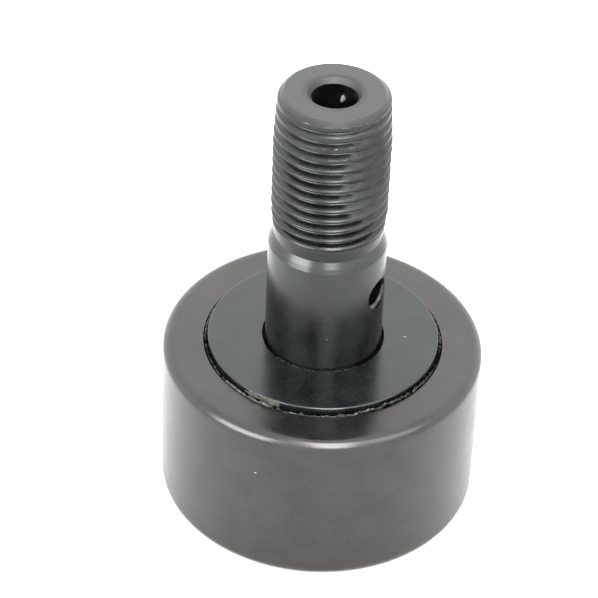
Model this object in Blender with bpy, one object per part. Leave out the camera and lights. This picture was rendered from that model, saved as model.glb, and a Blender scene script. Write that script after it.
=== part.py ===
"""Stud type cam follower: a needle roller bearing with a thick outer ring on a threaded stud.

The follower stands on the closed end of its roller with the stud pointing up.
Metres, +Z along the stud, origin at the centre of the face it stands on.
"""

import math

import bmesh
import bpy
from mathutils import Matrix, Vector

MM = 0.001

# Outer ring
RING_RADIUS = 17.4625 * MM
RING_WIDTH = 19.05 * MM
RING_EDGE_ROUND = 1.05 * MM
RING_EDGE_STEPS = 4
RACE_RADIUS = 11.2 * MM
COUNTERBORE_RADIUS = 13.0 * MM
COUNTERBORE_DEPTH = 2.75 * MM
BORE_EDGE_CHAMFER = 0.12 * MM

# Stud, from the head upwards
HEAD_RECESS = 0.1 * MM
HEAD_RADIUS = 12.6 * MM
HEAD_THICKNESS = 2.5 * MM
HEAD_EDGE_CHAMFER = 0.3 * MM
INNER_RACE_RADIUS = 8.6 * MM
SHANK_RADIUS = 6.35 * MM
STUD_LENGTH = 31.75 * MM
NECK_SHOULDER = 12.95 * MM
NECK_RAMP = 13.5 * MM
NECK_BOTTOM = 14.2 * MM
NECK_TOP = 17.3 * MM
NECK_RAMP_RADIUS = 6.14 * MM
NECK_RADIUS = 5.82 * MM
END_CHAMFER = 1.0 * MM

# Thread, with heights above the end plate
THREAD_RADIUS = 6.2 * MM
THREAD_PITCH = 1.27 * MM
THREAD_DEPTH = 0.72 * MM
THREAD_START = 15.6 * MM
THREAD_FADE = 0.8 * MM
FIRST_CREST = 14.94 * MM
CREST_SHARE = 0.2

# Lubrication drillings and driver slot
LUBE_HOLE_RADIUS = 2.38 * MM
LUBE_HOLE_DEPTH = 8.0 * MM
LUBE_COUNTERSINK = 0.55 * MM
PASSAGE_RADIUS = 1.5 * MM
CROSS_HOLE_RADIUS = 1.55 * MM
CROSS_HOLE_HEIGHT = 8.15 * MM
CROSS_HOLE_ANGLE = math.radians(-28.0)
FEED_HOLE_RADIUS = 1.0 * MM
SLOT_LENGTH = 15.0 * MM
SLOT_WIDTH = 2.4 * MM
SLOT_DEPTH = 1.9 * MM

# End plate, pressed over the stud's shoulder
PLATE_PROUD = 0.794 * MM
PLATE_RADIUS = 12.6 * MM
PLATE_THICKNESS = 2.5 * MM
PLATE_SEAT_RADIUS = 6.6 * MM
PLATE_BORE_RADIUS = 6.65 * MM
PLATE_BORE_CHAMFER = 0.1 * MM
PLATE_EDGE_CHAMFER = 0.18 * MM
PLATE_FACE = RING_WIDTH + PLATE_PROUD
SEAT_DROP = 0.1 * MM

# Needle rollers and their cage
NEEDLE_COUNT = 18
NEEDLE_RADIUS = 1.25 * MM
NEEDLE_LENGTH = 11.8 * MM
NEEDLE_EDGE = 0.2 * MM
PITCH_RADIUS = (RACE_RADIUS + INNER_RACE_RADIUS) / 2
CAGE_INNER_RADIUS = 9.15 * MM
CAGE_OUTER_RADIUS = 10.65 * MM
CAGE_LENGTH = 13.8 * MM
POCKET_LENGTH = 12.0 * MM
POCKET_WIDTH = 2.6 * MM
CAGE_MIDDLE = (HEAD_RECESS + HEAD_THICKNESS + PLATE_FACE - PLATE_THICKNESS) / 2

# Facets of the round pieces
STUD_SEGMENTS = 36
RING_SEGMENTS = 60
PLATE_SEGMENTS = 60
NEEDLE_SEGMENTS = 14
HOLE_SEGMENTS = 20
SEGMENTS_PER_POCKET = 4
EMPTY_SIZE = 5 * MM
MERGE_DISTANCE = 1e-7
SHARP_ANGLE = math.radians(32.0)


def clear_scene():
    """Remove what the open file holds."""
    for old in list(bpy.data.objects):
        bpy.data.objects.remove(old, do_unlink=True)


def material(name, colour, roughness, metallic):
    """Make a Principled material."""
    made = bpy.data.materials.new(name)
    made.use_nodes = True
    shader = made.node_tree.nodes["Principled BSDF"]
    shader.inputs["Base Color"].default_value = (*colour, 1.0)
    shader.inputs["Roughness"].default_value = roughness
    shader.inputs["Metallic"].default_value = metallic
    made.diffuse_color = (*colour, 1.0)
    return made


def new_object(name, bm, look=None, parent=None):
    """Turn a bmesh into a smooth shaded object, with its faces pointing out."""
    bmesh.ops.remove_doubles(bm, verts=bm.verts, dist=MERGE_DISTANCE)
    bmesh.ops.dissolve_degenerate(bm, dist=MERGE_DISTANCE, edges=bm.edges)
    bmesh.ops.recalc_face_normals(bm, faces=bm.faces)
    mesh = bpy.data.meshes.new(name)
    bm.to_mesh(mesh)
    bm.free()
    mesh.shade_smooth()
    mesh.set_sharp_from_angle(angle=SHARP_ANGLE)
    if look:
        mesh.materials.append(look)
    made = bpy.data.objects.new(name, mesh)
    bpy.context.scene.collection.objects.link(made)
    made.parent = parent
    return made


def axis_empty(name, place=(0.0, 0.0, 0.0)):
    """Make an empty on a joint's axis."""
    made = bpy.data.objects.new(name, None)
    made.empty_display_size = EMPTY_SIZE
    made.location = place
    bpy.context.scene.collection.objects.link(made)
    return made


def turned(outline, segments, closed=True):
    """Spin an outline of (radius, height) points about the Z axis."""
    bm = bmesh.new()
    verts = [bm.verts.new((radius, 0.0, height)) for radius, height in outline]
    edges = [bm.edges.new(pair) for pair in zip(verts, verts[1:])]
    if closed:
        edges.append(bm.edges.new((verts[-1], verts[0])))
    bmesh.ops.spin(bm, geom=verts + edges, cent=(0, 0, 0), axis=(0, 0, 1),
                   angle=math.tau, steps=segments, use_merge=True)
    return bm


def arc(centre, radius, start, end, steps):
    """Points along an arc, with its angles in degrees."""
    points = []
    for step in range(steps + 1):
        angle = math.radians(start + (end - start) * step / steps)
        points.append((centre[0] + radius * math.cos(angle), centre[1] + radius * math.sin(angle)))
    return points


def cut(body, name, bm, matrix):
    """Cut a shape out of a body with an exact Boolean."""
    cutter = new_object(name, bm)
    cutter.matrix_world = matrix
    cutter.hide_render = True
    cutter.display_type = 'WIRE'
    boolean = body.modifiers.new(name, 'BOOLEAN')
    boolean.operation = 'DIFFERENCE'
    boolean.solver = 'EXACT'
    boolean.object = cutter


def rod(radius, length, segments=HOLE_SEGMENTS):
    """A solid rod along +Z that starts at its own origin."""
    return turned([(0, 0), (radius, 0), (radius, length), (0, length)], segments, closed=False)


def make_outer_ring(look, parent):
    """The thick roller: round edges, a hard raceway and a counterbore at each end."""
    low, high = RING_EDGE_ROUND, RING_WIDTH - RING_EDGE_ROUND
    side = RING_RADIUS - RING_EDGE_ROUND
    mouth = COUNTERBORE_RADIUS + BORE_EDGE_CHAMFER
    outline = arc((side, low), RING_EDGE_ROUND, -90, 0, RING_EDGE_STEPS)
    outline += arc((side, high), RING_EDGE_ROUND, 0, 90, RING_EDGE_STEPS)
    outline += [
        (mouth, RING_WIDTH),
        (COUNTERBORE_RADIUS, RING_WIDTH - BORE_EDGE_CHAMFER),
        (COUNTERBORE_RADIUS, RING_WIDTH - COUNTERBORE_DEPTH),
        (RACE_RADIUS, RING_WIDTH - COUNTERBORE_DEPTH),
        (RACE_RADIUS, COUNTERBORE_DEPTH),
        (COUNTERBORE_RADIUS, COUNTERBORE_DEPTH),
        (COUNTERBORE_RADIUS, BORE_EDGE_CHAMFER),
        (mouth, 0.0),
    ]
    new_object("outer_ring", turned(outline, RING_SEGMENTS), look, parent)


def make_end_plate(look):
    """The side plate that stands slightly proud of the ring's face."""
    top, bottom = PLATE_FACE, PLATE_FACE - PLATE_THICKNESS
    rim = PLATE_RADIUS - PLATE_EDGE_CHAMFER
    outline = [
        (PLATE_BORE_RADIUS, bottom),
        (PLATE_RADIUS, bottom),
        (PLATE_RADIUS, top - PLATE_EDGE_CHAMFER),
        (rim, top),
        (PLATE_BORE_RADIUS + PLATE_BORE_CHAMFER, top),
        (PLATE_BORE_RADIUS, top - PLATE_BORE_CHAMFER),
    ]
    new_object("end_plate", turned(outline, PLATE_SEGMENTS), look)


def thread_radius(turn, height):
    """Outer radius of the thread, at a number of turns and a height above the plate."""
    off_crest = 0.5 - abs(turn % 1.0 - 0.5)
    depth = THREAD_DEPTH * max(0.0, off_crest - CREST_SHARE / 2) / (0.5 - CREST_SHARE / 2)
    start = min(1.0, max(0.0, (height - THREAD_START) / THREAD_FADE))
    climb = min(1.0, (height - NECK_BOTTOM) / (NECK_TOP - NECK_BOTTOM))
    neck = NECK_RADIUS + (THREAD_RADIUS - NECK_RADIUS) * climb
    chamfer = THREAD_RADIUS + STUD_LENGTH - END_CHAMFER - height
    return min(neck - depth * start, chamfer)


def add_thread(bm):
    """The threaded length, as rows of points that climb one pitch per turn."""
    shares = (CREST_SHARE / 2, 0.5, 1.0 - CREST_SHARE / 2)
    low, high = NECK_BOTTOM, STUD_LENGTH
    below = math.ceil((FIRST_CREST - low) / THREAD_PITCH) + 1
    above = math.ceil((high - FIRST_CREST) / THREAD_PITCH) + 1
    rows = [turn + share for turn in range(-below, above) for share in shares]
    grid = {}
    for column in range(STUD_SEGMENTS + 1):
        around = column / STUD_SEGMENTS
        angle = math.tau * around
        for row, turn in enumerate(rows):
            height = min(high, max(low, FIRST_CREST + (turn + around) * THREAD_PITCH))
            radius = thread_radius(turn, height)
            grid[column, row] = bm.verts.new((radius * math.cos(angle), radius * math.sin(angle),
                                              PLATE_FACE + height))
    for column in range(STUD_SEGMENTS):
        for row in range(len(rows) - 1):
            bm.faces.new((grid[column, row], grid[column + 1, row],
                          grid[column + 1, row + 1], grid[column, row + 1]))


def make_stud(look):
    """Head, inner raceway, plate seat, shank, neck and thread in one piece."""
    head_top = HEAD_RECESS + HEAD_THICKNESS
    seat_bottom = PLATE_FACE - PLATE_THICKNESS - SEAT_DROP
    end = PLATE_FACE + STUD_LENGTH
    lube_end = end - LUBE_HOLE_DEPTH
    lube_head = HEAD_RECESS + LUBE_HOLE_DEPTH
    cone = LUBE_HOLE_RADIUS - PASSAGE_RADIUS
    end_radius = THREAD_RADIUS - END_CHAMFER
    outside = [
        (LUBE_HOLE_RADIUS, HEAD_RECESS),
        (HEAD_RADIUS - HEAD_EDGE_CHAMFER, HEAD_RECESS),
        (HEAD_RADIUS, HEAD_RECESS + HEAD_EDGE_CHAMFER),
        (HEAD_RADIUS, head_top),
        (INNER_RACE_RADIUS, head_top),
        (INNER_RACE_RADIUS, seat_bottom),
        (PLATE_SEAT_RADIUS, seat_bottom),
        (PLATE_SEAT_RADIUS, PLATE_FACE - PLATE_BORE_CHAMFER),
        (SHANK_RADIUS, PLATE_FACE - PLATE_BORE_CHAMFER),
        (SHANK_RADIUS, PLATE_FACE + NECK_SHOULDER),
        (NECK_RAMP_RADIUS, PLATE_FACE + NECK_RAMP),
        (NECK_RADIUS, PLATE_FACE + NECK_BOTTOM),
    ]
    drilling = [
        (end_radius, end),
        (LUBE_HOLE_RADIUS + LUBE_COUNTERSINK, end),
        (LUBE_HOLE_RADIUS, end - LUBE_COUNTERSINK),
        (LUBE_HOLE_RADIUS, lube_end),
        (PASSAGE_RADIUS, lube_end - cone),
        (PASSAGE_RADIUS, lube_head + cone),
        (LUBE_HOLE_RADIUS, lube_head),
        (LUBE_HOLE_RADIUS, HEAD_RECESS),
    ]
    bm = turned(outside, STUD_SEGMENTS, closed=False)
    other = turned(drilling, STUD_SEGMENTS, closed=False)
    inner = bpy.data.meshes.new("drilling")
    other.to_mesh(inner)
    other.free()
    bm.from_mesh(inner)
    bpy.data.meshes.remove(inner)
    add_thread(bm)
    drill_stud(new_object("stud", bm, look))


def drill_stud(stud):
    """Cut the cross oil hole, the raceway's feed hole and the driver slot."""
    sideways = Matrix.Rotation(math.pi / 2, 4, 'Y')
    turn = Matrix.Rotation(CROSS_HOLE_ANGLE, 4, 'Z')
    cross_place = Matrix.Translation((0, 0, PLATE_FACE + CROSS_HOLE_HEIGHT)) @ turn @ sideways
    cut(stud, "cross_hole", rod(CROSS_HOLE_RADIUS, 2 * SHANK_RADIUS), cross_place)
    feed_place = Matrix.Translation((0, 0, CAGE_MIDDLE)) @ turn @ sideways
    cut(stud, "feed_hole", rod(FEED_HOLE_RADIUS, 2 * SHANK_RADIUS), feed_place)
    slot = bmesh.new()
    bmesh.ops.create_cube(slot, size=1.0)
    bmesh.ops.scale(slot, verts=slot.verts, vec=Vector((SLOT_LENGTH, SLOT_WIDTH, 2 * SLOT_DEPTH)))
    cut(stud, "driver_slot", slot, Matrix.Translation((0, 0, HEAD_RECESS)))


def make_cage(look, parent):
    """The retainer: a thin sleeve with one window for each needle."""
    low, high = -CAGE_LENGTH / 2, CAGE_LENGTH / 2
    outline = [
        (CAGE_INNER_RADIUS, low),
        (CAGE_OUTER_RADIUS, low),
        (CAGE_OUTER_RADIUS, high),
        (CAGE_INNER_RADIUS, high),
    ]
    cage = new_object("needle_cage", turned(outline, NEEDLE_COUNT * SEGMENTS_PER_POCKET), look, parent)
    windows = bmesh.new()
    for pocket in range(NEEDLE_COUNT):
        angle = math.tau * pocket / NEEDLE_COUNT
        place = Matrix.Rotation(angle, 4, 'Z') @ Matrix.Translation((PITCH_RADIUS, 0, 0))
        size = Matrix.Diagonal((PITCH_RADIUS / 2, POCKET_WIDTH, POCKET_LENGTH, 1.0))
        bmesh.ops.create_cube(windows, size=1.0, matrix=place @ size)
    cut(cage, "windows", windows, Matrix.Translation((0, 0, CAGE_MIDDLE)))


def make_needles(look, parent):
    """The needle rollers, each on its own axis in the cage."""
    half, tip = NEEDLE_LENGTH / 2, NEEDLE_RADIUS - NEEDLE_EDGE
    outline = [
        (0, -half),
        (tip, -half),
        (NEEDLE_RADIUS, NEEDLE_EDGE - half),
        (NEEDLE_RADIUS, half - NEEDLE_EDGE),
        (tip, half),
        (0, half),
    ]
    for number in range(NEEDLE_COUNT):
        angle = math.tau * number / NEEDLE_COUNT
        bm = turned(outline, NEEDLE_SEGMENTS, closed=False)
        needle = new_object(f"needle_{number + 1:02d}", bm, look, parent)
        needle.location = (PITCH_RADIUS * math.cos(angle), PITCH_RADIUS * math.sin(angle), 0)
        needle.rotation_euler = (0, 0, angle)


def build():
    """Build the whole follower."""
    clear_scene()
    black_ring = material("ring_black_oxide", (0.055, 0.052, 0.051), 0.38, 0.85)
    black_stud = material("stud_black_oxide", (0.050, 0.056, 0.056), 0.42, 0.85)
    black_plate = material("plate_black_oxide", (0.047, 0.054, 0.054), 0.40, 0.85)
    polished = material("needle_bearing_steel", (0.62, 0.62, 0.63), 0.16, 1.0)
    pressed = material("cage_pressed_steel", (0.42, 0.41, 0.40), 0.34, 1.0)
    ring_axis = axis_empty("ring_axis")
    cage_axis = axis_empty("cage_axis", (0.0, 0.0, CAGE_MIDDLE))
    make_stud(black_stud)
    make_end_plate(black_plate)
    make_outer_ring(black_ring, ring_axis)
    make_cage(pressed, cage_axis)
    make_needles(polished, cage_axis)


build()
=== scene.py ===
"""Looks of the stud type cam follower: fine turned pieces, black oxide steel, grease and a studio."""

import math

import bmesh
import bpy
from mathutils import Matrix, Vector, noise


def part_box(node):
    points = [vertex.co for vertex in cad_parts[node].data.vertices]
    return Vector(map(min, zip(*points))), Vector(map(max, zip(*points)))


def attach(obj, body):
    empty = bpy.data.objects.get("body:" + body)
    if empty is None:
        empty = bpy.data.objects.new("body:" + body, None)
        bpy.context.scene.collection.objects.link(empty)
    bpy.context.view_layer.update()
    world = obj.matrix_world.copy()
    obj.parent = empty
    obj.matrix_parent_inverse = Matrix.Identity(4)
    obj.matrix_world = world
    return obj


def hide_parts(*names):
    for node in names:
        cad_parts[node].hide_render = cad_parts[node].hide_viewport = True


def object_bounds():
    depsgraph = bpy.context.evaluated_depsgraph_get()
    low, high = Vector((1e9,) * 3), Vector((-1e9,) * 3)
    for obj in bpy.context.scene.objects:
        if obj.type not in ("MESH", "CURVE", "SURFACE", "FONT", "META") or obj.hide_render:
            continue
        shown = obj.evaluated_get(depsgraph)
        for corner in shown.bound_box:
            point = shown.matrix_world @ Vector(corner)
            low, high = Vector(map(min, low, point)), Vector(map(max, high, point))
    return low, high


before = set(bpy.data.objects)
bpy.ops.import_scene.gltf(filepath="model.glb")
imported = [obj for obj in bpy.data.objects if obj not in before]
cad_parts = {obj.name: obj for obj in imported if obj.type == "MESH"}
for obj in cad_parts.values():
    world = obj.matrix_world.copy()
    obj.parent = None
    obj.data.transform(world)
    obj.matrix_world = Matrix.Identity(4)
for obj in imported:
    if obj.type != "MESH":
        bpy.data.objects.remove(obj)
CAD_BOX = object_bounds()

MM = 0.001

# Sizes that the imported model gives
RING_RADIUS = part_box("outer_ring")[1].x
RING_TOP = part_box("outer_ring")[1].z
PLATE_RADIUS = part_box("end_plate")[1].x
PLATE_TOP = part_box("end_plate")[1].z
PLATE_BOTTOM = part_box("end_plate")[0].z
HEAD_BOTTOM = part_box("stud")[0].z
STUD_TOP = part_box("stud")[1].z
CAGE_LOW, CAGE_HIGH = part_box("needle_cage")[0].z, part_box("needle_cage")[1].z
CAGE_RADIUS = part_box("needle_cage")[1].x
NEEDLE_RADIUS = (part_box("needle_01")[1].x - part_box("needle_01")[0].x) / 2
NEEDLES = sorted(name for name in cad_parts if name.startswith("needle_") and name[-1].isdigit())
HEIGHT = CAD_BOX[1].z

# Sizes of the details. The thread, end chamfer, countersink, cross hole and groove at the shank differ a
# little from the CAD model, which is simpler.
EDGE_ROUND = 1.05 * MM
BORE_RADIUS = 13.0 * MM
BORE_DEPTH = 2.75 * MM
RACE_RADIUS = 11.2 * MM
HEAD_RADIUS = 12.6 * MM
HEAD_TOP = 2.6 * MM
INNER_RACE_RADIUS = 8.6 * MM
SEAT_RADIUS = 6.54 * MM
PLATE_BORE_RADIUS = 6.59 * MM
PLATE_BORE_CHAMFER = 0.1 * MM
GROOVE_DEPTH = 2.2 * MM
SEAT_DROP = 0.1 * MM
SHANK_RADIUS = 6.35 * MM
NECK_SHOULDER = PLATE_TOP + 12.95 * MM
NECK_RAMP = PLATE_TOP + 13.5 * MM
NECK_BOTTOM = PLATE_TOP + 14.2 * MM
NECK_TOP = PLATE_TOP + 17.3 * MM
NECK_RAMP_RADIUS = 6.14 * MM
NECK_RADIUS = 5.82 * MM
THREAD_RADIUS = 6.2 * MM
THREAD_PITCH = 1.27 * MM
THREAD_DEPTH = 0.74 * MM
FLANK_RUN = THREAD_DEPTH * math.tan(math.radians(30.0))
CREST_HALF = 0.11 * MM
THREAD_START = PLATE_TOP + 15.6 * MM
THREAD_FADE = 0.8 * MM
FIRST_CREST = PLATE_TOP + 14.94 * MM
LEAD_RADIUS = 5.83 * MM
LEAD_LENGTH = 5.5 * MM
END_RADIUS = 5.2 * MM
END_SLOPE = math.tan(math.radians(34.0))
LUBE_RADIUS = 2.38 * MM
LUBE_DEPTH = 8.0 * MM
LIP_RADIUS = 2.9 * MM
LIP_DEPTH = 0.6 * MM
LIP_ROUND = 0.4 * MM
LIP_GRIME = 0.6
PASSAGE_RADIUS = 1.5 * MM
CROSS_RADIUS = 1.5 * MM
CROSS_CHAMFER = 0.26 * MM
CROSS_RIM_DIP = 0.18 * MM
CROSS_HEIGHT = PLATE_TOP + 8.15 * MM
CROSS_ANGLE = math.radians(-28.0)
FEED_RADIUS = 1.0 * MM
SLOT_LENGTH = 15.0 * MM
SLOT_WIDTH = 2.4 * MM
SLOT_DEPTH = 1.9 * MM
CAGE_THICKNESS = 1.5 * MM
POCKET_LENGTH = 12.0 * MM
POCKET_WIDTH = 2.6 * MM
SMEAR_ANGLE = math.radians(312.0)
SMEAR_WIDTH = math.radians(24.0)
SMEAR_HEIGHT = PLATE_TOP + 24.5 * MM
SMEAR_LENGTH = 4.5 * MM
GRIME_REACH = 2.5
GRIME_FILL = 0.75
CREST_WEAR = 0.035 * MM
PITCH_RADIUS = (RACE_RADIUS + INNER_RACE_RADIUS) / 2
CAGE_MIDDLE = (CAGE_LOW + CAGE_HIGH) / 2

# Edge roundings
BORE_ROUND = 0.1 * MM
CORNER_ROUND = 0.15 * MM
FILLET = 0.2 * MM
CAGE_ROUND = 0.2 * MM
NEEDLE_ROUND = 0.3 * MM
HEAD_ROUND = 0.3 * MM
PLATE_FOOT_ROUND = 0.2 * MM
PLATE_EDGE_ROUND = 0.18 * MM
SHOULDER_ROUND = 0.2 * MM
RAMP_ROUND = 0.4 * MM

# The joint between the thread and the rest of the stud is hidden inside, at the core's radius and a drop
# from the thread's ends. The supports are extra rings of points near an edge, for smooth shading.
CORE_RADIUS = 4.6 * MM
CORE_DROP = 0.3 * MM
END_SUPPORT = 0.06 * MM
LIP_SUPPORT = 0.7 * MM
WALL_SUPPORT = 0.25 * MM
NECK_SUPPORT_OUT = 0.04 * MM
NECK_SUPPORT_DOWN = 0.09 * MM
CORE = (Vector((CORE_RADIUS, STUD_TOP - CORE_DROP)), Vector((CORE_RADIUS, NECK_BOTTOM + CORE_DROP)))

# Fineness
AROUND = 288
THREAD_ROWS = (0.0, 0.05, 0.08, 0.105, 0.13, 0.17, 0.25, 0.33, 0.39, 0.425, 0.46)
ARC_STEP = math.radians(12.0)
GREASE_STEP = 0.5
GREASE_SIDES = 12
GREASE_TAPER = 8
LUMP_GRAIN = 30.0
DRIFT_GRAIN = 22.0
BUMP_GRAIN = 60.0
GREASE_OVERLAP = 0.05 * MM
GREASE_CLEARANCE = 0.01 * MM
SUPPORT = 0.35
SHARP = math.radians(28.0)
MERGE = 1e-7
CAGE_AROUND = 216
NEEDLE_AROUND = 40
CROSS_AROUND = 96
FEED_AROUND = 48

# The two gaps that hold grease, as the nearest and farthest radius that it reaches. The inner one also holds
# the dark ring that paints the shadow line at the shank's foot.
OUTER_GAP = (PLATE_RADIUS - GREASE_OVERLAP, BORE_RADIUS - GREASE_CLEARANCE)
INNER_GAP = (SHANK_RADIUS - GREASE_OVERLAP, PLATE_BORE_RADIUS + GREASE_OVERLAP)

# Studio. A soft box has a name, an azimuth and elevation in degrees, a width and height in metres and a
# strength. Azimuth 0 is the camera's side, and 90 is its right.
SOFTBOXES = (
    ("softbox_front", 9, 41, 0.25, 0.66, 10.0),
    ("softbox_left", -50, 20, 0.40, 0.44, 7.5),
    ("softbox_right", 57, 40, 0.32, 0.42, 2.5),
)
SOFTBOX_DISTANCE = 0.6
FLOOR_SIZE = 3.0
FLOOR_DROP = 0.02 * MM
FLOOR_COLOUR = (0.54, 0.54, 0.54)
SURROUND = 2.45
ELEVATION = math.radians(38.77)
ROLL = math.radians(2.42)
CAMERA_BACK = 290.73 * MM
CAMERA_RIGHT = -2.82 * MM
CAMERA_UP = -0.96 * MM
SENSOR = 36.0
LENS = 162.5
EXPOSURE = 0.36
GAMMA = 0.85


# Mesh helpers

def rounded(corners):
    """Points of a closed outline of (radius, height, corner radius), with each corner turned into an arc.

    A short support point stands before and after each arc, so that flat faces stay flat in smooth shading.
    """
    points = []
    count = len(corners)
    for index, (x, y, size) in enumerate(corners):
        here = Vector((x, y))
        before = (Vector(corners[index - 1][:2]) - here).normalized()
        after = (Vector(corners[(index + 1) % count][:2]) - here).normalized()
        if size <= 0:
            points.append(here)
            continue
        half = before.angle(after) / 2
        reach = size / math.tan(half)
        centre = here + (before + after).normalized() * (size / math.sin(half))
        start, end = here + before * reach, here + after * reach
        steps = max(2, round((math.pi - 2 * half) / ARC_STEP))
        spoke = start - centre
        sweep = spoke.angle_signed(end - centre)
        points.append(start + before * SUPPORT * reach)
        for step in range(steps + 1):
            points.append(centre + Matrix.Rotation(-sweep * step / steps, 2) @ spoke)
        points.append(end + after * SUPPORT * reach)
    return points


def add_turned(bm, points, segments=AROUND, closed=True):
    """Add an outline of (radius, height) points, turned about the Z axis."""
    rings = []
    for x, y in points:
        if x < MERGE:
            rings.append([bm.verts.new((0, 0, y))] * segments)
            continue
        rings.append([bm.verts.new((x * math.cos(math.tau * k / segments),
                                    x * math.sin(math.tau * k / segments), y)) for k in range(segments)])
    pairs = list(zip(rings, rings[1:]))
    if closed:
        pairs.append((rings[-1], rings[0]))
    for low, high in pairs:
        for k in range(segments):
            corners = (low[k - 1], low[k], high[k], high[k - 1])
            bm.faces.new(list(dict.fromkeys(corners)))


def finished(name, bm, look, body, *nodes, slot=None):
    """Make a smooth shaded piece that rides on a body and stands for CAD nodes."""
    bmesh.ops.remove_doubles(bm, verts=bm.verts, dist=MERGE)
    bmesh.ops.dissolve_degenerate(bm, dist=MERGE, edges=bm.edges)
    bmesh.ops.recalc_face_normals(bm, faces=bm.faces)
    mesh = bpy.data.meshes.new(name)
    bm.to_mesh(mesh)
    bm.free()
    piece = bpy.data.objects.new(name, mesh)
    bpy.context.scene.collection.objects.link(piece)
    smooth(piece)
    mesh.materials.append(look)
    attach(piece, body)
    if nodes:
        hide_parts(*nodes)
    return piece


def smooth(piece):
    """Smooth shading with sharp creases kept."""
    piece.data.shade_smooth()
    piece.data.set_sharp_from_angle(angle=SHARP)


def cutter(name, bm, matrix):
    """A hidden shape for a Boolean."""
    bmesh.ops.recalc_face_normals(bm, faces=bm.faces)
    mesh = bpy.data.meshes.new(name)
    bm.to_mesh(mesh)
    bm.free()
    shape = bpy.data.objects.new(name, mesh)
    bpy.context.scene.collection.objects.link(shape)
    shape.matrix_world = matrix
    return shape


def cut(piece, *shapes):
    """Cut shapes out of a piece for good, and remove them."""
    for shape in shapes:
        boolean = piece.modifiers.new(shape.name, 'BOOLEAN')
        boolean.operation = 'DIFFERENCE'
        boolean.solver = 'EXACT'
        boolean.object = shape
    bpy.context.view_layer.update()
    depsgraph = bpy.context.evaluated_depsgraph_get()
    mesh = bpy.data.meshes.new_from_object(piece.evaluated_get(depsgraph))
    piece.modifiers.clear()
    piece.data = mesh
    for shape in shapes:
        bpy.data.objects.remove(shape)
    smooth(piece)


# Material helpers

class Look:
    """A Principled material that is built up from procedural layers."""

    def __init__(self, name, roughness, ior=1.5, metallic=0.0, tint=(1.0, 1.0, 1.0)):
        self.material = bpy.data.materials.new(name)
        self.material.use_nodes = True
        self.nodes = self.material.node_tree.nodes
        self.links = self.material.node_tree.links
        self.shader = self.nodes["Principled BSDF"]
        self.shader.inputs["Roughness"].default_value = roughness
        self.shader.inputs["IOR"].default_value = ior
        self.shader.inputs["Metallic"].default_value = metallic
        self.shader.inputs["Specular Tint"].default_value = (*tint, 1.0)
        self.place = self.nodes.new("ShaderNodeTexCoord").outputs["Object"]
        self.height = None
        self.colour = None
        self.rough = None

    def math(self, operation, *values):
        """A Math node on sockets or numbers."""
        node = self.nodes.new("ShaderNodeMath")
        node.operation = operation
        for socket, value in zip(node.inputs, values):
            self.feed(socket, value)
        return node.outputs[0]

    def feed(self, socket, value):
        """Link a socket, or set a plain value."""
        if isinstance(value, bpy.types.NodeSocket):
            self.links.new(value, socket)
        else:
            socket.default_value = value

    def turned_place(self):
        """Coordinates that are the same all the way round: distance from the axis, and height."""
        split = self.nodes.new("ShaderNodeSeparateXYZ")
        self.links.new(self.place, split.inputs[0])
        across = self.math('SQRT', self.math('ADD', self.math('MULTIPLY', split.outputs[0], split.outputs[0]),
                                             self.math('MULTIPLY', split.outputs[1], split.outputs[1])))
        join = self.nodes.new("ShaderNodeCombineXYZ")
        self.links.new(across, join.inputs[0])
        self.links.new(split.outputs[2], join.inputs[1])
        return join.outputs[0]

    def grain(self, size, detail=3.0, place=None, stretch=(1.0, 1.0, 1.0)):
        """Noise whose features are about size metres."""
        mapping = self.nodes.new("ShaderNodeMapping")
        self.links.new(place or self.place, mapping.inputs["Vector"])
        mapping.inputs["Scale"].default_value = tuple(s / size for s in stretch)
        made = self.nodes.new("ShaderNodeTexNoise")
        made.inputs["Scale"].default_value = 1.0
        made.inputs["Detail"].default_value = detail
        self.links.new(mapping.outputs[0], made.inputs["Vector"])
        return made.outputs["Fac"]

    def ramp(self, value, low, high, to_low, to_high):
        """Map a value's stretch from low to high onto another stretch, clamped."""
        node = self.nodes.new("ShaderNodeMapRange")
        node.clamp = True
        self.feed(node.inputs["Value"], value)
        for key, number in (("From Min", low), ("From Max", high), ("To Min", to_low), ("To Max", to_high)):
            self.feed(node.inputs[key], number)
        return node.outputs["Result"]

    def blend(self, share, first, second):
        """Mix two colours."""
        node = self.nodes.new("ShaderNodeMix")
        node.data_type = 'RGBA'
        self.feed(node.inputs["Factor"], share)
        for key, colour in (("A", first), ("B", second)):
            socket = next(s for s in node.inputs if s.name == key and s.type == 'RGBA')
            self.feed(socket, colour if isinstance(colour, bpy.types.NodeSocket) else (*colour, 1.0))
        return next(s for s in node.outputs if s.type == 'RGBA')

    def bump(self, value, depth):
        """Add a height layer, depth in metres."""
        node = self.nodes.new("ShaderNodeBump")
        node.inputs["Distance"].default_value = depth
        self.links.new(value, node.inputs["Height"])
        if self.height:
            self.links.new(self.height, node.inputs["Normal"])
        self.height = node.outputs["Normal"]
        self.links.new(self.height, self.shader.inputs["Normal"])

    def set(self, key, value):
        """Feed one of the shader's inputs."""
        self.links.new(value, self.shader.inputs[key])


def attribute(look, name):
    """Read a mesh attribute."""
    node = look.nodes.new("ShaderNodeAttribute")
    node.attribute_name = name
    return node.outputs["Fac"]


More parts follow.
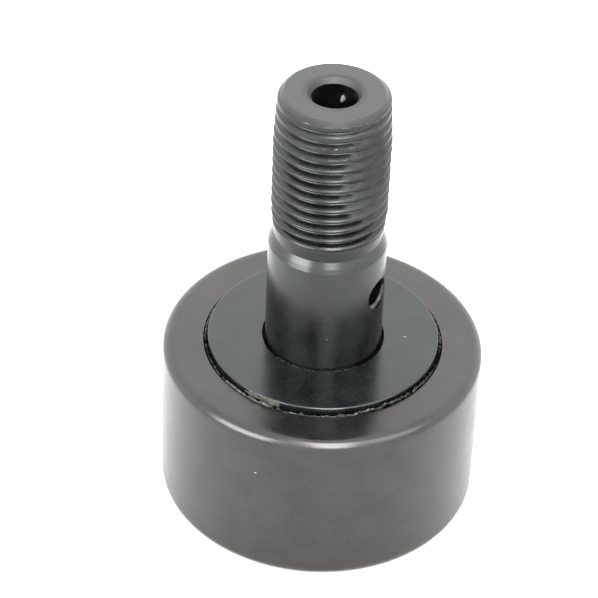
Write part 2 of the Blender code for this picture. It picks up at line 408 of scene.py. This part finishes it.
def black_oxide(name, dark, light, tint, roughness, ior, turning, grit):
    """Blackened steel: a thin dark conversion layer over turned or ground steel, with an oil film."""
    look = Look(name, roughness, ior=ior, tint=tint)
    rings = look.turned_place()
    cloud = look.grain(3.5 * MM, detail=4.0)
    fine = look.grain(0.25 * MM, detail=3.0)
    marks = look.grain(turning, detail=2.0, place=rings)
    mottle = look.ramp(look.math('ADD', cloud, look.math('MULTIPLY', fine, 1.2)), 0.95, 1.22, 0.0, 1.0)
    look.colour = look.blend(mottle, dark, light)
    look.set("Base Color", look.colour)
    worn = look.math('ADD', look.math('MULTIPLY', cloud, 0.6), look.math('MULTIPLY', marks, 0.4))
    look.rough = look.ramp(worn, 0.3, 0.7, roughness * 0.8, roughness * 1.25)
    look.set("Roughness", look.rough)
    look.bump(marks, 0.0012 * MM)
    look.bump(fine, grit)
    return look


def dull(colour, share):
    """A colour made darker."""
    return tuple(part * share for part in colour)


def ring_look():
    """The roller: ground side and turned faces."""
    look = black_oxide("ring_black_oxide", dark=(0.0008, 0.0007, 0.0006), light=(0.0062, 0.0056, 0.0052),
                       tint=(1.0, 0.99, 0.97), roughness=0.24, ior=1.61, turning=0.05 * MM, grit=0.0025 * MM)
    return look.material


def plate_look():
    """The end plate: cooler black, finely turned."""
    look = black_oxide("plate_black_oxide", dark=(0.0004, 0.0006, 0.0007), light=(0.0042, 0.0058, 0.0058),
                       tint=(0.93, 1.0, 0.985), roughness=0.22, ior=1.57, turning=0.04 * MM, grit=0.0015 * MM)
    return look.material


def stud_look(name, ior, film):
    """The stud: ground shank, a rougher thread and end with dried grime, and a pale film on the end."""
    look = black_oxide(name, dark=(0.0006, 0.0010, 0.0010), light=(0.0050, 0.0065, 0.0062),
                       tint=(0.95, 1.0, 0.985), roughness=0.22, ior=ior, turning=0.05 * MM, grit=0.0020 * MM)
    split = look.nodes.new("ShaderNodeSeparateXYZ")
    look.links.new(look.place, split.inputs[0])
    climb = look.ramp(split.outputs[2], NECK_TOP, STUD_TOP, 0.0, 0.08)
    filmed = look.ramp(split.outputs[2], STUD_TOP - LIP_DEPTH, STUD_TOP, 0.0, 1.0)
    patchy = look.blend(look.grain(0.3 * MM), dull(film, 0.4), film)
    look.set("Base Color", look.blend(filmed, look.colour, patchy))
    grime = look.math('MULTIPLY', attribute(look, "grime"), 0.4)
    look.set("Roughness", look.math('ADD', look.rough, look.math('ADD', climb, grime)))
    look.bump(look.grain(0.12 * MM, detail=4.0), 0.004 * MM)
    return look.material


def steel_look(name, colour, roughness, size):
    """Bright ground or pressed steel."""
    look = Look(name, roughness, metallic=1.0)
    fine = look.grain(size, detail=3.0, stretch=(1.0, 1.0, 0.2))
    cloud = look.grain(1.5 * MM, detail=3.0)
    look.set("Base Color", look.blend(cloud, colour, tuple(c * 0.8 for c in colour)))
    look.set("Roughness", look.ramp(fine, 0.3, 0.7, roughness * 0.7, roughness * 1.3))
    look.bump(fine, 0.001 * MM)
    return look.material


# Pieces

def make_ring():
    """The thick roller, with round edges and a counterbore at each end."""
    top = RING_TOP
    outline = rounded([
        (RING_RADIUS, 0.0, EDGE_ROUND),
        (RING_RADIUS, top, EDGE_ROUND),
        (BORE_RADIUS, top, BORE_ROUND),
        (BORE_RADIUS, top - BORE_DEPTH, BORE_ROUND),
        (RACE_RADIUS, top - BORE_DEPTH, CORNER_ROUND),
        (RACE_RADIUS, BORE_DEPTH, CORNER_ROUND),
        (BORE_RADIUS, BORE_DEPTH, BORE_ROUND),
        (BORE_RADIUS, 0.0, BORE_ROUND),
    ])
    bm = bmesh.new()
    add_turned(bm, outline)
    finished("outer_ring_fine", bm, ring_look(), "outer_ring", "outer_ring", slot="ring_black_oxide")


def make_plate():
    """The end plate with its small edge rounding."""
    outline = rounded([
        (PLATE_BORE_RADIUS, PLATE_BOTTOM, BORE_ROUND),
        (PLATE_RADIUS, PLATE_BOTTOM, PLATE_FOOT_ROUND),
        (PLATE_RADIUS, PLATE_TOP, PLATE_EDGE_ROUND),
        (PLATE_BORE_RADIUS, PLATE_TOP, PLATE_BORE_CHAMFER),
    ])
    bm = bmesh.new()
    add_turned(bm, outline)
    finished("end_plate_fine", bm, plate_look(), "stud", "end_plate", slot="plate_black_oxide")


def soft_ramp(value, width=0.16):
    """A ramp from 0 to 1 with rounded ends."""
    def knee(x):
        return 0.5 * (x + math.sqrt(x * x + width * width))
    return knee(value) - knee(value - 1.0)


def smear(angle, height):
    """How much of the thread is filled with hard grime here, from 0 to 1."""
    across = (angle - SMEAR_ANGLE) / SMEAR_WIDTH
    along = (height - SMEAR_HEIGHT) / SMEAR_LENGTH
    place = Vector((math.cos(angle) * 4.0, math.sin(angle) * 4.0, height / MM))
    patchy = 0.75 + 0.5 * noise.noise(place)
    return max(0.0, min(1.0, 1.6 * math.exp(-across * across - along * along) * patchy - 0.15))


def thread_radius(turn, height, around):
    """Outer radius of the thread: rounded crests, a fading run-out, worn edges, a lead and an end chamfer."""
    angle = math.tau * around
    off_crest = abs(turn - round(turn)) * THREAD_PITCH
    depth = THREAD_DEPTH * soft_ramp((off_crest - CREST_HALF) / FLANK_RUN)
    depth *= 1.0 - GRIME_FILL * smear(angle, height)
    start = min(1.0, max(0.0, (height - THREAD_START) / THREAD_FADE))
    climb = min(1.0, (height - NECK_BOTTOM) / (NECK_TOP - NECK_BOTTOM))
    neck = NECK_RADIUS + (THREAD_RADIUS - NECK_RADIUS) * climb
    along = Vector((math.cos(angle) * 7.0, math.sin(angle) * 7.0, height / THREAD_PITCH * 2.1))
    wear = CREST_WEAR * (noise.noise(along) + 0.6 * noise.noise(along * 3.1)) * start
    lead = LEAD_RADIUS + (THREAD_RADIUS - LEAD_RADIUS) * min(1.0, (STUD_TOP - height) / LEAD_LENGTH)
    chamfer = END_RADIUS + (STUD_TOP - height) / END_SLOPE
    return min(neck - depth * start, lead + wear, neck + wear, chamfer)


def add_thread(bm):
    """The threaded length, as rows of points that climb one pitch per turn."""
    low, high = NECK_BOTTOM, STUD_TOP
    below = math.ceil((FIRST_CREST - low) / THREAD_PITCH) + 1
    above = math.ceil((high - FIRST_CREST) / THREAD_PITCH) + 1
    shares = sorted({*THREAD_ROWS, *(1.0 - share for share in THREAD_ROWS[1:]), 0.5})
    rows = [turn + share for turn in range(-below, above) for share in shares]
    grime = bm.verts.layers.float.new("grime")
    grid = {}
    for column in range(AROUND + 1):
        around = column / AROUND
        angle = math.tau * around
        for row, turn in enumerate(rows):
            height = min(high, max(low, FIRST_CREST + (turn + around) * THREAD_PITCH))
            radius = thread_radius(turn, height, around)
            vertex = bm.verts.new((radius * math.cos(angle), radius * math.sin(angle), height))
            vertex[grime] = min(1.0, GRIME_REACH * smear(angle, height))
            grid[column, row] = vertex
    for column in range(AROUND):
        for row in range(len(rows) - 1):
            bm.faces.new((grid[column, row], grid[column + 1, row],
                          grid[column + 1, row + 1], grid[column, row + 1]))


def make_stud():
    """Head, raceway, seat, shank and neck with their drillings in one piece, and the thread in another."""
    seat = PLATE_BOTTOM - SEAT_DROP
    foot = PLATE_TOP - GROOVE_DEPTH
    cone = LUBE_RADIUS - PASSAGE_RADIUS
    lube_low = HEAD_BOTTOM + LUBE_DEPTH
    corners = [
        (NECK_RADIUS, NECK_BOTTOM, 0.0),
        *((radius, height, 0.0) for radius, height in reversed(CORE)),
        (END_RADIUS, STUD_TOP, 0.0),
        (END_RADIUS - END_SUPPORT, STUD_TOP, 0.0),
        (LIP_RADIUS + LIP_SUPPORT, STUD_TOP, 0.0),
        (LIP_RADIUS, STUD_TOP, LIP_ROUND),
        (LUBE_RADIUS, STUD_TOP - LIP_DEPTH, FILLET),
        (LUBE_RADIUS, STUD_TOP - LIP_DEPTH - WALL_SUPPORT, 0.0),
        (LUBE_RADIUS, STUD_TOP - LUBE_DEPTH, 0.0),
        (PASSAGE_RADIUS, STUD_TOP - LUBE_DEPTH - cone, 0.0),
        (PASSAGE_RADIUS, lube_low + cone, 0.0),
        (LUBE_RADIUS, lube_low, 0.0),
        (LUBE_RADIUS, HEAD_BOTTOM, CORNER_ROUND),
        (HEAD_RADIUS, HEAD_BOTTOM, HEAD_ROUND),
        (HEAD_RADIUS, HEAD_TOP, CORNER_ROUND),
        (INNER_RACE_RADIUS, HEAD_TOP, FILLET),
        (INNER_RACE_RADIUS, seat, BORE_ROUND),
        (SEAT_RADIUS, seat, 0.0),
        (SEAT_RADIUS, foot, 0.0),
        (SHANK_RADIUS, foot, 0.0),
        (SHANK_RADIUS, NECK_SHOULDER, SHOULDER_ROUND),
        (NECK_RAMP_RADIUS, NECK_RAMP, RAMP_ROUND),
        (NECK_RADIUS + NECK_SUPPORT_OUT, NECK_BOTTOM - NECK_SUPPORT_DOWN, 0.0),
    ]
    bm = bmesh.new()
    add_turned(bm, rounded(corners))
    grime = bm.verts.layers.float.new("grime")
    for vertex in bm.verts:
        if vertex.co.z > STUD_TOP - LIP_DEPTH and vertex.co.xy.length < LIP_RADIUS + LIP_ROUND:
            vertex[grime] = LIP_GRIME
    look = stud_look("stud_black_oxide", ior=1.58, film=(0.0155, 0.0160, 0.0140))
    stud = finished("stud_fine", bm, look, "stud", "stud", slot="stud_black_oxide")
    sleeve = bmesh.new()
    add_thread(sleeve)
    inside = [Vector((END_RADIUS, STUD_TOP)), *CORE, Vector((NECK_RADIUS, NECK_BOTTOM))]
    add_turned(sleeve, inside, closed=False)
    look = stud_look("stud_thread", ior=1.50, film=(0.030, 0.031, 0.028))
    finished("stud_thread", sleeve, look, "stud", "stud", slot="stud_black_oxide")
    sideways = Matrix.Rotation(CROSS_ANGLE, 4, 'Z') @ Matrix.Rotation(math.pi / 2, 4, 'Y')
    cross = bmesh.new()
    mouth = CROSS_RADIUS + CROSS_CHAMFER
    add_turned(cross, [
        (0, 0),
        (CROSS_RADIUS, 0),
        (CROSS_RADIUS, SHANK_RADIUS - CROSS_CHAMFER - CROSS_RIM_DIP),
        (mouth, SHANK_RADIUS - CROSS_RIM_DIP),
        (mouth, SHANK_RADIUS + CROSS_RIM_DIP),
        (0, SHANK_RADIUS + CROSS_RIM_DIP),
    ], CROSS_AROUND, closed=False)
    feed = bmesh.new()
    corners = [(0, 0), (FEED_RADIUS, 0), (FEED_RADIUS, PITCH_RADIUS), (0, PITCH_RADIUS)]
    add_turned(feed, corners, FEED_AROUND, closed=False)
    slot = bmesh.new()
    bmesh.ops.create_cube(slot, size=1.0)
    bmesh.ops.scale(slot, verts=slot.verts, vec=Vector((SLOT_LENGTH, SLOT_WIDTH, 2 * SLOT_DEPTH)))
    cut(stud,
        cutter("cross_hole", cross, Matrix.Translation((0, 0, CROSS_HEIGHT)) @ sideways),
        cutter("feed_hole", feed, Matrix.Translation((0, 0, CAGE_MIDDLE)) @ sideways),
        cutter("driver_slot", slot, Matrix.Translation((0, 0, HEAD_BOTTOM))))


def make_cage():
    """The retainer with a window for each needle."""
    inner = CAGE_RADIUS - CAGE_THICKNESS
    outline = rounded([
        (inner, CAGE_LOW, CAGE_ROUND),
        (CAGE_RADIUS, CAGE_LOW, CAGE_ROUND),
        (CAGE_RADIUS, CAGE_HIGH, CAGE_ROUND),
        (inner, CAGE_HIGH, CAGE_ROUND),
    ])
    bm = bmesh.new()
    add_turned(bm, outline, CAGE_AROUND)
    look = steel_look("cage_pressed_steel", colour=(0.42, 0.41, 0.40), roughness=0.34, size=0.3 * MM)
    cage = finished("needle_cage_fine", bm, look, "needle_cage", "needle_cage", slot="cage_pressed_steel")
    windows = bmesh.new()
    for number in range(len(NEEDLES)):
        turn = Matrix.Rotation(math.tau * number / len(NEEDLES), 4, 'Z')
        size = Matrix.Diagonal((PITCH_RADIUS / 2, POCKET_WIDTH, POCKET_LENGTH, 1.0))
        place = turn @ Matrix.Translation((PITCH_RADIUS, 0, 0)) @ size
        bmesh.ops.create_cube(windows, size=1.0, matrix=place)
    cut(cage, cutter("windows", windows, Matrix.Translation((0, 0, CAGE_MIDDLE))))


def make_needles():
    """The needle rollers with round ends."""
    look = steel_look("needle_bearing_steel", colour=(0.62, 0.62, 0.63), roughness=0.16, size=0.2 * MM)
    for node in NEEDLES:
        low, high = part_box(node)
        middle = (low + high) / 2
        outline = rounded([
            (0.0, low.z, 0.0),
            (NEEDLE_RADIUS, low.z, NEEDLE_ROUND),
            (NEEDLE_RADIUS, high.z, NEEDLE_ROUND),
            (0.0, high.z, 0.0),
        ])
        bm = bmesh.new()
        add_turned(bm, outline, NEEDLE_AROUND, closed=False)
        bmesh.ops.translate(bm, verts=bm.verts, vec=(middle.x, middle.y, 0.0))
        finished(node + "_fine", bm, look, node, node, slot="needle_bearing_steel")


# Grease and dust, with painted glints, a painted shadow ring and a painted highlight line

def lumpy_look(name, dark, light, roughness):
    """Lumpy old grease, also used for dust specks and for the painted glints, shadow ring and highlight line.
    """
    look = Look(name, roughness, ior=1.47)
    cloud = look.grain(0.5 * MM, detail=4.0)
    look.set("Base Color", look.blend(look.ramp(cloud, 0.35, 0.65, 0.0, 1.0), dark, light))
    look.set("Roughness", look.ramp(cloud, 0.3, 0.7, roughness * 0.7, roughness * 1.3))
    look.bump(look.grain(0.15 * MM), 0.03 * MM)
    return look.material


def lumpy_bead(name, look, span, radius, top, half_width, half_height, rough, gap=OUTER_GAP):
    """A lumpy string along a span of degrees: grease, and also the painted shadow ring and highlight line.
    Top is a height, or a function of the angle.
    """
    start, end = span
    bm = bmesh.new()
    steps = max(8, round(abs(end - start) / GREASE_STEP))
    sections = []
    for step in range(steps + 1):
        share = step / steps
        angle = math.radians(start + (end - start) * share)
        crest = top(angle) if callable(top) else top
        ends = math.sqrt(max(0.0, 1.0 - abs(2.0 * share - 1.0) ** GREASE_TAPER)) if end - start < 360 else 1.0
        lump = 1.0 + rough * noise.noise(Vector((math.cos(angle), math.sin(angle), 0.3)) * LUMP_GRAIN)
        drift = noise.noise(Vector((math.cos(angle), math.sin(angle), 3.0)) * DRIFT_GRAIN)
        shift = rough * 0.5 * half_width * drift
        wide, tall = half_width * ends * lump, half_height * ends * lump
        middle = crest - half_height
        section = []
        for corner in range(GREASE_SIDES):
            turn = math.tau * corner / GREASE_SIDES
            here = Vector((math.cos(angle), math.sin(angle), math.sin(turn))) * BUMP_GRAIN
            bumpy = 1.0 + 0.5 * rough * noise.noise(here)
            out = radius + shift + wide * bumpy * math.cos(turn)
            out = max(gap[0], min(gap[1], out))
            section.append(bm.verts.new((out * math.cos(angle), out * math.sin(angle),
                                         middle + tall * bumpy * math.sin(turn))))
        sections.append(section)
    for low, high in zip(sections, sections[1:]):
        for corner in range(GREASE_SIDES):
            bm.faces.new((low[corner - 1], low[corner], high[corner], high[corner - 1]))
    if end - start < 360:
        bm.faces.new(sections[0])
        bm.faces.new(sections[-1])
    finished(name, bm, look, "stud")


def far_side(angle):
    """0 at the near side of the gap and 1 at the far side."""
    return max(0.0, min(1.0, 0.5 + 5.0 * (math.sin(angle) + 0.08)))


def dark_top(angle):
    """Height of the dark grease: 0.75 mm below the roller's face at the near side, 0.08 above it behind."""
    return RING_TOP + (-0.75 + 0.83 * far_side(angle)) * MM


def rope_top(angle):
    """Height of the grease rope, which wanders up to 0.3 mm each way and is heaped up at the right."""
    wander = noise.noise(Vector((math.cos(angle), math.sin(angle), 1.7)) * 16.0)
    heap = math.exp(-((math.degrees(angle) + 53.0) / 21.0) ** 2)
    return RING_TOP + (-0.12 + 0.3 * wander + 0.42 * heap) * MM


def make_grease():
    """Dark grease round the plate, a rope of it and pale smears at the near side, with a dark ring that
    paints the shadow line at the shank's foot and a pale line that paints the bore edge's highlight.
    """
    dark = lumpy_look("grease_dark_and_shadow", dark=(0.003, 0.003, 0.002), light=(0.012, 0.013, 0.009), roughness=0.30)
    green = lumpy_look("grease_green", dark=(0.002, 0.002, 0.001), light=(0.017, 0.018, 0.014),
                        roughness=0.38)
    pale = lumpy_look("grease_pale_and_highlight", dark=(0.014, 0.014, 0.011), light=(0.052, 0.051, 0.042), roughness=0.5)
    lumpy_bead("grease_gap", dark, span=(0.0, 360.0), radius=12.8 * MM, top=dark_top,
                half_width=0.24 * MM, half_height=0.5 * MM, rough=0.4)
    lumpy_bead("grease_rope", green, span=(-172.0, -12.0), radius=12.77 * MM, top=rope_top,
                half_width=0.14 * MM, half_height=0.25 * MM, rough=1.0)
    lumpy_bead("grease_smear", pale, span=(-143.0, -114.0), radius=12.87 * MM, top=RING_TOP + 0.17 * MM,
                half_width=0.18 * MM, half_height=0.22 * MM, rough=0.7)
    lumpy_bead("grease_rim", pale, span=(-130.0, -110.0), radius=12.66 * MM, top=PLATE_TOP - 0.10 * MM,
                half_width=0.10 * MM, half_height=0.34 * MM, rough=0.8)
    # Painted shade: a dark ring in the groove at the shank's foot, standing for the thin shadow line there.
    lumpy_bead("shank_foot_shadow_ring", dark, span=(-140.0, -52.0), radius=6.47 * MM, top=PLATE_TOP - 0.06 * MM,
                half_width=0.2 * MM, half_height=0.2 * MM, rough=0.3, gap=INNER_GAP)
    # Painted highlight: a thin pale line along the bore edge at the near side, standing for the bore edge's
    # highlight.
    lumpy_bead("bore_edge_highlight_line", pale, span=(-107.0, -76.0), radius=12.93 * MM, top=RING_TOP + 0.01 * MM,
                half_width=0.08 * MM, half_height=0.09 * MM, rough=1.2)


def fleck(name, body, place, look, size, shape=(1.6, 1.0, 0.8)):
    """A small uneven lump on a surface, size across, stretched to a shape."""
    bm = bmesh.new()
    matrix = Matrix.Translation(place) @ Matrix.Diagonal((*(size * share for share in shape), 1.0))
    bmesh.ops.create_icosphere(bm, subdivisions=2, radius=0.5, matrix=matrix)
    for vertex in bm.verts:
        vertex.co += 0.3 * size * noise.noise(vertex.co / size) * Vector((1.0, 0.6, 0.8))
    finished(name, bm, look, body)


def around(radius, degrees, height):
    """A place from a radius, an angle and a height."""
    turn = math.radians(degrees)
    return Vector((radius * math.cos(turn), radius * math.sin(turn), height))


def make_dust_and_glints():
    """A few specks of lint, a pale fleck that paints a glint on the grease, and a pale lump that paints a
    glint inside the lubrication hole.
    """
    # The pale look gives the lint specks their colour, and it also paints the two glints below.
    look = lumpy_look("dust_and_glints", dark=(0.10, 0.10, 0.09), light=(0.28, 0.28, 0.26), roughness=0.6)
    # Painted highlight: a pale fleck at the end of the pale smear, standing for a glint on the grease.
    fleck("grease_glint_fleck", "stud", around(12.88 * MM, -117.5, RING_TOP + 0.12 * MM), look, size=0.22 * MM)
    # Painted highlight: a pale lump on the back wall of the lubrication hole, standing for the glint inside
    # it.
    fleck("lube_glint", "stud", around(LUBE_RADIUS - 0.1 * MM, 67.0, STUD_TOP - 2.2 * MM), look,
          size=0.5 * MM, shape=(1.1, 1.1, 1.7))
    fleck("dust_plate", "stud", around(8.9 * MM, -0.5, PLATE_TOP), look,
          size=0.12 * MM, shape=(3.2, 1.4, 0.6))
    fleck("dust_shank", "stud", around(SHANK_RADIUS, -87.0, PLATE_TOP + 4.3 * MM), look, size=0.10 * MM)
    fleck("dust_side", "outer_ring", around(RING_RADIUS - 0.02 * MM, -112.1, 13.6 * MM), look,
          size=0.13 * MM, shape=(3.2, 1.0, 1.0))


# Studio

def make_floor():
    """A plain pale floor."""
    bpy.ops.mesh.primitive_plane_add(size=FLOOR_SIZE, location=(0, 0, -FLOOR_DROP))
    floor = bpy.context.object
    floor.name = "floor"
    look = Look("floor_white", 0.7)
    look.shader.inputs["Base Color"].default_value = (*FLOOR_COLOUR, 1.0)
    floor.data.materials.append(look.material)


def softbox(name, azimuth, elevation, width, height, strength):
    """An area light that faces the follower."""
    data = bpy.data.lights.new(name, 'AREA')
    data.shape = 'RECTANGLE'
    data.size = width
    data.size_y = height
    data.energy = strength * math.pi * width * height
    light = bpy.data.objects.new(name, data)
    bpy.context.scene.collection.objects.link(light)
    turn, lift = math.radians(azimuth), math.radians(elevation)
    away = Vector((math.sin(turn) * math.cos(lift), -math.cos(turn) * math.cos(lift), math.sin(lift)))
    light.location = away * SOFTBOX_DISTANCE + Vector((0, 0, HEIGHT / 2))
    light.rotation_mode = 'QUATERNION'
    light.rotation_quaternion = away.to_track_quat('Z', 'Y')


def make_studio():
    """A white surround, soft boxes and the camera."""
    world = bpy.data.worlds.new("white_surround")
    bpy.context.scene.world = world
    world.use_nodes = True
    background = world.node_tree.nodes["Background"]
    background.inputs["Color"].default_value = (1.0, 1.0, 1.0, 1.0)
    background.inputs["Strength"].default_value = SURROUND
    for box in SOFTBOXES:
        softbox(*box)
    view = bpy.context.scene.view_settings
    view.view_transform = 'Standard'
    view.exposure = EXPOSURE
    view.gamma = GAMMA
    camera = bpy.data.objects.new("camera", bpy.data.cameras.new("camera"))
    bpy.context.scene.collection.objects.link(camera)
    camera.data.sensor_width = SENSOR
    camera.data.lens = LENS
    camera.data.clip_start = 0.01
    camera.data.clip_end = 10.0
    turn = Matrix.Rotation(math.pi / 2 - ELEVATION, 4, 'X') @ Matrix.Rotation(ROLL, 4, 'Z')
    offset = Vector((CAMERA_RIGHT, CAMERA_UP, CAMERA_BACK))
    camera.matrix_world = Matrix.Translation((0, 0, HEIGHT / 2)) @ turn @ Matrix.Translation(offset)
    bpy.context.scene.camera = camera


make_ring()
make_plate()
make_stud()
make_cage()
make_needles()
make_grease()
make_dust_and_glints()
make_floor()
make_studio()
